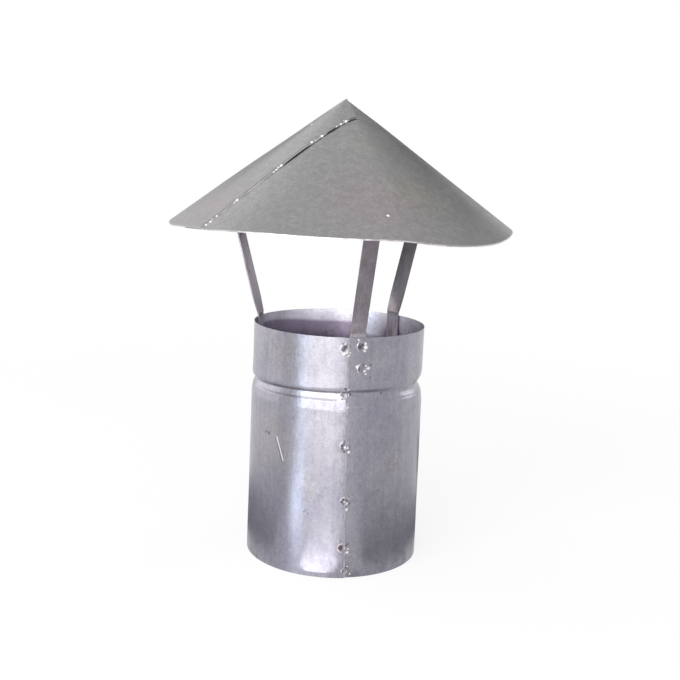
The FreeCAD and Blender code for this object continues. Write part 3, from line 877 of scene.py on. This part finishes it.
def hat_material():
    """Duller zinc-coated sheet: matt grey, faint pink and yellow clouds, bright specks at the welds, painted
    highlights on the lap's edge, the rim and a weld print, and painted shadows under the lap's edge.
    """
    g = Graph("hat_zinc")
    flat = flat_hat(g)
    clouds = g.noise(g.scaled((1, 1, 1.2)), 11, 4, 0.5, 0.5)
    tints = g.noise(g.scaled((1, 1, 1), (2.3, 0.6, 1.9)), 15, 3, 0.5)
    warm = g.noise(g.scaled((1, 1, 1), (6.1, 3.4, 0.2)), 18, 3, 0.5)
    drops = g.noise(g.scaled((1, 1, 1), (9, 1, 3)), 44, 5, 0.65, 1.2)
    mottle = g.noise(g.place, 230, 4, 0.65)
    grain = g.noise(g.place, 820, 3, 0.7)
    colour = g.mix(g.fit(clouds, 0.32, 0.7), (0.283, 0.287, 0.285), (0.335, 0.333, 0.332))
    colour = g.coated(
        colour,
        (g.fit(tints, 0.48, 0.72, 0, 0.5), (0.345, 0.305, 0.32)),
        (g.fit(warm, 0.55, 0.75, 0, 0.4), (0.325, 0.315, 0.275)),
    )
    for place, reach, tone, share in (
        (on_hat(12.0, 112.0), 0.056, (0.35, 0.295, 0.315), 0.95),
        (on_hat(33.0, 98.0), 0.028, (0.345, 0.325, 0.26), 0.85),
        (on_hat(-56.0, 128.0), 0.036, (0.37, 0.305, 0.34), 0.8),
    ):
        cloud = g.fit(g.vector("DISTANCE", flat, place), reach, 0.1 * reach)
        colour = g.mix(g.times(cloud, g.fit(mottle, 0.3, 0.6, 0.35 * share, share)), colour, tone)
    colour = g.coated(
        colour,
        (g.fit(mottle, 0.38, 0.64, 0, 0.5), (0.205, 0.202, 0.205)),
        (g.fit(grain, 0.38, 0.58, 0, 0.52), (0.19, 0.188, 0.19)),
        (g.fit(grain, 0.54, 0.7, 0, 0.45), (0.48, 0.47, 0.47)),
        (g.fit(drops, 0.62, 0.75, 0, 0.25), (0.40, 0.39, 0.39)),
    )
    colour, bright, relief = hat_lap(g, colour, flat, mottle)

    # bright specks along the lap and at the left edge, a painted highlight on the front strap's weld, and the
    # straps' prints
    sparks = [(on_hat(*on_flap(run, inset)), size) for run, inset, size in SPARKS]
    # painted highlight on the front strap's weld print
    sparks.append((on_hat(*HAT_WELDS[0]), 0.9))
    sparks.append((on_hat(-59.1, 32.4), 0.6))
    prints = g.nearest(flat, [(on_hat(*weld), HAT_PRINT_RADIUS) for weld in HAT_WELDS])
    ring = g.times(g.fit(prints, 1.15, 0.95), g.fit(prints, 0.7, 0.9))

    # painted highlight along the rim's cut edge, strongest at the front
    x = g.axes(flat)["X"]
    front = g.times(g.fit(x, -0.095, -0.06, 0.08, 1.0), g.fit(x, 0.055, 0.08, 1.0, 0.25))
    rim = g.times(g.fit(g.attribute("from_rim"), 0.9, 0.5), front, g.fit(mottle, 0.38, 0.6, 0.2, 0.85))
    colour = g.coated(
        colour,
        (g.fit(g.nearest(flat, sparks), 1.3, 0.8), (0.97, 0.94, 0.96)),
        (g.times(ring, 0.3), (0.2, 0.19, 0.19)),
        (rim, (0.68, 0.61, 0.65)),
    )

    rough = g.fit(clouds, 0.3, 0.7, 0.34, 0.39)
    rough = g.math("ADD", rough, g.fit(grain, 0.3, 0.7, -0.04, 0.08))
    rough = g.math("SUBTRACT", rough, g.times(bright, 0.15), clamp=True)
    normal = g.bump(g.math("ADD", mottle, g.times(grain, 0.6)), 0.00014, 0.5)
    normal = g.bump(relief, 0.0005, 0.7, normal)
    return g.finish(colour, rough, normal, 0.85)


def strap_material(name, seed, foot, bend, top):
    """Dull flat bar: grey-brown, drawn along its length, with painted light and shade at foot, bend and top.
    """
    g = Graph(name)
    clouds = g.noise(g.scaled((1, 1, 0.5), (seed, seed * 0.7, 0)), 60, 4, 0.6, 0.5)
    drawn = g.noise(g.scaled((1, 1, 0.08), (seed * 1.3, 0, 0)), 900, 3, 0.6)
    grain = g.noise(g.place, 800, 3, 0.65)
    rust = g.noise(g.scaled((1, 1, 0.7), (seed, 5, 2)), 130, 4, 0.6, 1.0)
    height = g.axes(g.place)["Z"]
    # painted light and shade: the bar brighter or darker at its foot, bend and top
    light_to_top = g.fit(height, 0.172, 0.226, 0.0, top - bend, False)
    tone = g.math("ADD", g.fit(height, 0.164, 0.170, foot, bend), light_to_top)
    colour = g.mix(g.fit(clouds, 0.3, 0.7), (0.168, 0.148, 0.170), (0.29, 0.265, 0.30))
    colour = g.mix(g.fit(drawn, 0.35, 0.65, 0, 0.35), colour, (0.34, 0.31, 0.35))
    colour = g.mix(1.0, colour, tone, "MULTIPLY")
    colour = g.coated(
        colour,
        (g.fit(rust, 0.55, 0.7, 0, 0.5), (0.2, 0.14, 0.11)),
        (g.fit(grain, 0.3, 0.7, 0, 0.3), (0.12, 0.11, 0.115)),
    )
    normal = g.bump(drawn, 0.00012, 0.5)
    normal = g.bump(grain, 0.00008, 0.5, normal)
    return g.finish(colour, g.fit(clouds, 0.3, 0.7, 0.42, 0.55), normal, 0.85)


pipe = make_pipe()
pipe.data.materials.append(pipe_material())
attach(pipe, "root")
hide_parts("pipe")

hat = make_hat()
hat.data.materials.append(hat_material())
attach(hat, "root")
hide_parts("hat")

for number, (name, course) in enumerate(STRAPS.items()):
    bar = make_strap(name, *course)
    seed = 1.7 + 2.3 * number
    bar.data.materials.append(strap_material(name + "_steel", seed, *STRAP_PAINTED_LIGHT[name]))
    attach(bar, "root")
    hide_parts(name)


# Floor and surroundings, in metres
def seen_ray(g):
    """1 for camera, glossy and transmission rays, which all see the same white background."""
    path = g.node("ShaderNodeLightPath")
    seen = path.outputs["Is Camera Ray"]
    for name in ("Is Glossy Ray", "Is Transmission Ray"):
        seen = g.math("MAXIMUM", seen, path.outputs[name])
    return seen


def floor(half=40):
    """Plain pale floor that reads as white to the camera and in reflections, and keeps the shadow."""
    mesh = bpy.data.meshes.new("floor")
    corners = [(-half, -half, 0), (half, -half, 0), (half, half, 0), (-half, half, 0)]
    mesh.from_pydata(corners, [], [(0, 1, 2, 3)])
    g = Graph("floor_white")
    diffuse = g.node("ShaderNodeBsdfDiffuse")
    diffuse.inputs["Color"].default_value = (0.86, 0.86, 0.86, 1)
    glow = g.node("ShaderNodeEmission")
    far = g.fit(g.vector("LENGTH", g.place), 0.25, 1.0, 0.8, 1.0)
    mixed = g.node("ShaderNodeMixShader")
    output = g.node("ShaderNodeOutputMaterial")
    g.put(mixed.inputs["Fac"], g.times(seen_ray(g), far))
    g.put(mixed.inputs[1], diffuse.outputs["BSDF"])
    g.put(mixed.inputs[2], glow.outputs["Emission"])
    g.put(output.inputs["Surface"], mixed.outputs["Shader"])
    mesh.materials.append(g.owner)
    linked("floor", mesh)


def surroundings():
    """White background, with a plain level of light from all round for the rest."""
    g = Graph("studio", "worlds")
    bpy.context.scene.world = g.owner
    mixed = g.node("ShaderNodeMixShader")
    g.put(mixed.inputs["Fac"], seen_ray(g))
    for socket, strength in ((1, 0.7), (2, 1.0)):
        background = g.node("ShaderNodeBackground")
        background.inputs["Color"].default_value = (1, 1, 1, 1)
        background.inputs["Strength"].default_value = strength
        g.put(mixed.inputs[socket], background.outputs[0])
    output = g.node("ShaderNodeOutputWorld")
    g.put(output.inputs["Surface"], mixed.outputs[0])


def lamp(name, azimuth, elevation, distance, width, tall, level, colour, aim=0.12, facing=None, oval=False):
    """Soft lamp at a distance from the point at the height aim on the axis; level 1 is the background's.

    It faces that point if no other way is given.
    """
    data = bpy.data.lights.new(name, "AREA")
    data.shape = "ELLIPSE" if oval else "RECTANGLE"
    data.size, data.size_y = width, tall
    data.energy = level * math.pi * width * tall * (math.pi / 4 if oval else 1)
    data.color = colour
    x, y = direction(azimuth)
    lean = math.radians(elevation)
    away = Vector((x * math.cos(lean), y * math.cos(lean), math.sin(lean)))
    obj = linked(name, data)
    obj.location = Vector((0, 0, aim)) + away * distance
    back = away if facing is None else -Vector(facing)
    obj.rotation_euler = back.to_track_quat("Z", "Y").to_euler()
    obj.visible_camera = False


def card(name, low, high, tone):
    """Dark strip between two rows of points, seen only in reflections, without a shadow."""
    mesh = bpy.data.meshes.new(name)
    count = len(low)
    mesh.from_pydata(low + high, [], [(k, k + 1, count + k + 1, count + k) for k in range(count - 1)])
    material = bpy.data.materials.new(name)
    material.use_nodes = True
    shader = material.node_tree.nodes["Principled BSDF"]
    shader.inputs["Base Color"].default_value = (*tone, 1)
    shader.inputs["Roughness"].default_value = 0.9
    mesh.materials.append(material)
    obj = linked(name, mesh)
    obj.visible_camera = False
    obj.visible_diffuse = False
    obj.visible_shadow = False


def level_row(turns, radii, height):
    """Points at the given azimuths and at one radius or one for each."""
    x, y = direction(np.array(turns))
    return [(float(a), float(b), height) for a, b in zip(radii * x, radii * y)]


def floor_shadow_cards(height=0.0008, tone=(0.09, 0.09, 0.115)):
    """Painted shadow of the floor beside and behind the pipe, seen only in its reflections: open at the
    front, and more of it at the back right.
    """
    turns = range(28, 305, 6)
    outer = np.array([0.164 if turn < 140 else 0.19 for turn in turns])
    card("card_ground", level_row(turns, 0.078, height), level_row(turns, outer, height), tone)
    turns = range(140, 183, 6)
    card("card_ground_right", level_row(turns, 0.19, height), level_row(turns, 0.36, height), tone)


def sky_card(name, azimuth, low, high, spread, tone, distance=1.6, aim=0.28):
    """Upright dark band behind the object, between two elevations."""
    turns = [azimuth + spread * k / 4 for k in range(-4, 5)]
    rows = []
    for lean in np.radians([low, high]):
        rows.append(level_row(turns, distance * math.cos(lean), aim + distance * math.sin(lean)))
    card(name, *rows, tone)


def camera():
    """The photograph's viewpoint, from a fit to the object's outline: no shift and no depth of field."""
    place = (0, -0.73077, 0.28769)
    yaw, pitch, roll = 0.00125, -0.1822, 0.0405
    data = bpy.data.cameras.new("camera")
    data.sensor_fit = "AUTO"
    data.sensor_width = 36.0
    data.lens = 55.232
    data.clip_start = 0.01
    data.clip_end = 200
    ahead = Vector((math.sin(yaw) * math.cos(pitch), math.cos(yaw) * math.cos(pitch), math.sin(pitch)))
    right = ahead.cross(Vector((0, 0, 1))).normalized()
    up = right.cross(ahead)
    x = right * math.cos(roll) + up * math.sin(roll)
    y = up * math.cos(roll) - right * math.sin(roll)
    turn = Matrix((x, y, -ahead)).transposed().to_4x4()
    obj = linked("camera", data)
    obj.matrix_world = Matrix.Translation(place) @ turn
    bpy.context.scene.camera = obj


floor()
surroundings()
# broad windows and walls, which the metal shows as its soft lights
lamp("window_left", -46.0, 16.0, 1.5, 0.30, 1.2, 7.4, (0.72, 0.86, 1.0))
lamp("window_front", -24.0, 16.0, 1.5, 0.86, 1.2, 5.0, (1.0, 0.99, 0.95))
lamp("window_right", -1.0, 16.0, 1.5, 0.46, 1.2, 4.4, (1.0, 0.96, 0.97))
lamp("door_left", -112.0, 12.0, 1.5, 1.8, 0.9, 1.18, (1.0, 0.975, 0.985))
lamp("wall_right", 119.0, 20.0, 1.5, 0.9, 0.7, 2.0, (0.94, 0.97, 1.0))
lamp("sky_left", -143.0, 38.0, 1.6, 0.8, 0.6, 0.55, (1.0, 0.98, 0.985), 0.28)
# small lights close by: low on the pipe, on the floor before it, under the hat and inside the collar
lamp("strip_left", -36.0, 0.0, 0.118, 0.024, 0.05, 1.7, (0.78, 0.9, 1.0), 0.034)
lamp("paper", -9.0, 2.0, 0.083, 0.04, 0.044, 3.2, (1.0, 0.99, 0.96), 0.0, (0, -0.02, 1), True)
lamp("under_hat", 12.0, 34.0, 0.055, 0.07, 0.03, 1.5, (1.0, 1.0, 0.98), 0.155)
lamp("rim_glow", -165.0, 0.0, 0.033, 0.036, 0.008, 38.0, (1.0, 0.99, 1.0), 0.185, (0, 1, -0.4))
sky_card("card_sky", 149.0, 19.0, 42.0, 14.0, (0.02, 0.02, 0.02))
sky_card("card_back", 181.0, -8.0, 20.0, 20.0, (0.12, 0.12, 0.13))
floor_shadow_cards()
camera()
bpy.context.scene.view_settings.view_transform = "Standard"
